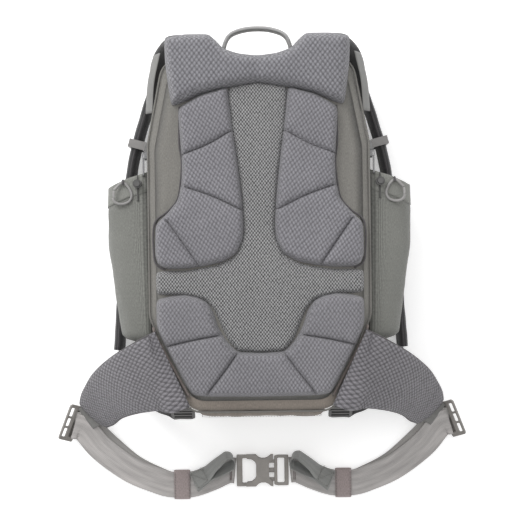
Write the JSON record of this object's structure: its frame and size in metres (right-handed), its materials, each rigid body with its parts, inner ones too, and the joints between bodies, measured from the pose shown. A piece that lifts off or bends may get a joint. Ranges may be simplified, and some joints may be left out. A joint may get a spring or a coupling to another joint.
{
  "type": "daypack",
  "caption": "Padded daypack lying on its front pockets: quilted back panel, side pockets, folded-back shoulder straps and a buckled hip belt.",
  "frame": {"origin": "on the flat face of the front pocket that the pack lies on, midway between the pack's sides", "axes": "+Z out of the back panel, towards the wearer; +Y towards the haul handle; +X to the right as the back panel is looked at"},
  "size_m": [0.592, 0.6698, 0.2048],
  "materials": {
    "pack_cloth": "matte",
    "base_cloth": "matte",
    "pad_knit": "matte",
    "spacer_mesh": "matte",
    "strap_cloth": "matte",
    "edge_tape": "matte",
    "belt_web": "satin",
    "grey_web": "satin",
    "dark_web": "matte",
    "moulded_grey": "satin",
    "moulded_dark": "satin",
    "zip_tape": "matte",
    "zip_metal": "satin",
    "frame_plastic": "matte",
    "stay_alloy": "satin"
  },
  "bodies": {
    "pack": {"main_bag": "pack_cloth", "base_panel": "base_cloth", "front_pocket": "pack_cloth", "top_pocket": "pack_cloth", "frame_sheet": "frame_plastic", "frame_stay": "stay_alloy", "upper_pad_left": "pad_knit", "upper_pad_right": "pad_knit", "lumbar_pad": "pad_knit", "air_mesh": "spacer_mesh", "yoke": "pad_knit", "edge_binding": "edge_tape", "side_pocket_left": "pack_cloth", "side_pocket_right": "pack_cloth", "pocket_drawcords": "dark_web", "cord_lock_left": "moulded_dark", "cord_lock_right": "moulded_dark", "shoulder_strap_left": "strap_cloth", "shoulder_strap_right": "strap_cloth", "load_lifters": "grey_web", "strap_tail_left": "dark_web", "strap_tail_right": "dark_web", "ladder_lock_left": "moulded_dark", "ladder_lock_right": "moulded_dark", "anchor_webs": "dark_web", "compression_straps": "grey_web", "main_zip": "zip_tape", "front_zip": "zip_tape", "top_zip": "zip_tape"},
    "wing_left": {"hip_wing_left": "pad_knit"},
    "wing_right": {"hip_wing_right": "pad_knit"},
    "belt_left": {"belt_slider_left": "moulded_grey", "belt_webbing_left": "belt_web", "belt_keeper_left": "edge_tape", "pull_tab_left": "grey_web", "buckle_female": "moulded_grey"},
    "belt_right": {"belt_slider_right": "moulded_grey", "belt_webbing_right": "belt_web", "belt_keeper_right": "edge_tape", "pull_tab_right": "grey_web", "buckle_male": "moulded_grey"},
    "prong_upper": {"buckle_prong_upper": "moulded_grey"},
    "prong_lower": {"buckle_prong_lower": "moulded_grey"},
    "handle": {"haul_handle": "grey_web"},
    "sternum_left": {"sternum_slider_left": "moulded_grey"},
    "sternum_right": {"sternum_slider_right": "moulded_grey"},
    "button_left": {"cord_lock_button_left": "moulded_dark"},
    "button_right": {"cord_lock_button_right": "moulded_dark"},
    "hook_left": {"hook_left": "moulded_grey"},
    "hook_right": {"hook_right": "moulded_grey"},
    "gate_left": {"hook_gate_left": "moulded_grey"},
    "gate_right": {"hook_gate_right": "moulded_grey"},
    "main_slider_left": {"main_zip_slider_left": "zip_metal"},
    "main_slider_right": {"main_zip_slider_right": "zip_metal"},
    "main_pull_left": {"main_zip_pull_left": "zip_metal"},
    "main_pull_right": {"main_zip_pull_right": "zip_metal"},
    "front_slider": {"front_zip_slider": "zip_metal"},
    "front_pull": {"front_zip_pull": "zip_metal"},
    "top_slider": {"top_zip_slider": "zip_metal"},
    "top_pull": {"top_zip_pull": "zip_metal"}
  },
  "joints": [
    {"name": "wing_left_swing", "type": "hinge", "parent": "pack", "child": "wing_left", "pos_m": [-0.1295, -0.195, 0.1848], "axis": [-0.3971, 0.9178, 0], "range_deg": [0, 85]},
    {"name": "wing_right_swing", "type": "hinge", "parent": "pack", "child": "wing_right", "pos_m": [0.1295, -0.195, 0.1848], "axis": [-0.3971, -0.9178, 0], "range_deg": [0, 85]},
    {"name": "belt_left_turn", "type": "hinge", "parent": "wing_left", "child": "belt_left", "pos_m": [-0.26394, -0.27714, 0.0168], "axis": [-0.3971, 0.9178, 0], "range_deg": [-85, 0]},
    {"name": "belt_right_turn", "type": "hinge", "parent": "wing_right", "child": "belt_right", "pos_m": [0.26394, -0.27714, 0.0168], "axis": [-0.3971, -0.9178, 0], "range_deg": [-85, 0]},
    {"name": "prong_upper_press", "type": "hinge", "parent": "belt_right", "child": "prong_upper", "pos_m": [0.0215, -0.3388, 0.01], "axis": [0, 0, 1], "range_deg": [0, 4], "stiffness_Nm_per_rad": 0.05},
    {"name": "prong_lower_press", "type": "hinge", "parent": "belt_right", "child": "prong_lower", "pos_m": [0.0215, -0.3652, 0.01], "axis": [0, 0, -1], "range_deg": [0, 4], "stiffness_Nm_per_rad": 0.05},
    {"name": "handle_flap", "type": "hinge", "parent": "pack", "child": "handle", "pos_m": [0, 0.2315, 0.1494], "axis": [1, 0, 0], "range_deg": [-70, 15], "stiffness_Nm_per_rad": 0.05},
    {"name": "sternum_left_slide", "type": "slide", "parent": "pack", "child": "sternum_left", "axis": [-0.2541, -0.9672, 0], "range_m": [-0.015, 0.015]},
    {"name": "sternum_right_slide", "type": "slide", "parent": "pack", "child": "sternum_right", "axis": [0.2541, -0.9672, 0], "range_m": [-0.015, 0.015]},
    {"name": "button_left_press", "type": "slide", "parent": "pack", "child": "button_left", "axis": [0, 0, -1], "range_m": [0, 0.003], "stiffness_N_per_m": 300},
    {"name": "hook_left_swing", "type": "hinge", "parent": "pack", "child": "hook_left", "pos_m": [-0.1874, 0.063, 0.1538], "axis": [-1, 0, 0], "range_deg": [0, 110]},
    {"name": "gate_left_open", "type": "hinge", "parent": "hook_left", "child": "gate_left", "pos_m": [-0.19864, 0.053, 0.1538], "axis": [0, 0, 1], "range_deg": [0, 22], "stiffness_Nm_per_rad": 0.005},
    {"name": "main_zip_left_slide", "type": "slide", "parent": "pack", "child": "main_slider_left", "axis": [0, 1, 0], "range_m": [-0.14, 0.01]},
    {"name": "main_pull_left_turn", "type": "hinge", "parent": "main_slider_left", "child": "main_pull_left", "pos_m": [-0.1578, 0.09616, 0.1569], "axis": [0, 0, -1], "range_deg": [0, 110]},
    {"name": "button_right_press", "type": "slide", "parent": "pack", "child": "button_right", "axis": [0, 0, -1], "range_m": [0, 0.003], "stiffness_N_per_m": 300},
    {"name": "hook_right_swing", "type": "hinge", "parent": "pack", "child": "hook_right", "pos_m": [0.1874, 0.063, 0.1538], "axis": [-1, 0, 0], "range_deg": [0, 110]},
    {"name": "gate_right_open", "type": "hinge", "parent": "hook_right", "child": "gate_right", "pos_m": [0.19864, 0.053, 0.1538], "axis": [0, 0, -1], "range_deg": [0, 22], "stiffness_Nm_per_rad": 0.005},
    {"name": "main_zip_right_slide", "type": "slide", "parent": "pack", "child": "main_slider_right", "axis": [0, 1, 0], "range_m": [-0.14, 0.01]},
    {"name": "main_pull_right_turn", "type": "hinge", "parent": "main_slider_right", "child": "main_pull_right", "pos_m": [0.1578, 0.09616, 0.1569], "axis": [0, 0, 1], "range_deg": [0, 110]},
    {"name": "front_zip_slide", "type": "slide", "parent": "pack", "child": "front_slider", "axis": [0, 1, 0], "range_m": [-0.06, 0.09]},
    {"name": "front_pull_turn", "type": "hinge", "parent": "front_slider", "child": "front_pull", "pos_m": [0.1278, -0.10584, 0.03946], "axis": [0, 0, 1], "range_deg": [0, 110]},
    {"name": "top_zip_slide", "type": "slide", "parent": "pack", "child": "top_slider", "axis": [1, 0, 0], "range_m": [-0.07, 0.06]},
    {"name": "top_pull_turn", "type": "hinge", "parent": "top_slider", "child": "top_pull", "pos_m": [0.00384, 0.2108, 0.03946], "axis": [0, 0, 1], "range_deg": [0, 110]}
  ],
  "couplings": [
    {"joint": "wing_right_swing", "follows": "wing_left_swing", "ratio": 1},
    {"joint": "belt_left_turn", "follows": "wing_left_swing", "ratio": -1},
    {"joint": "belt_right_turn", "follows": "wing_left_swing", "ratio": -1}
  ]
}
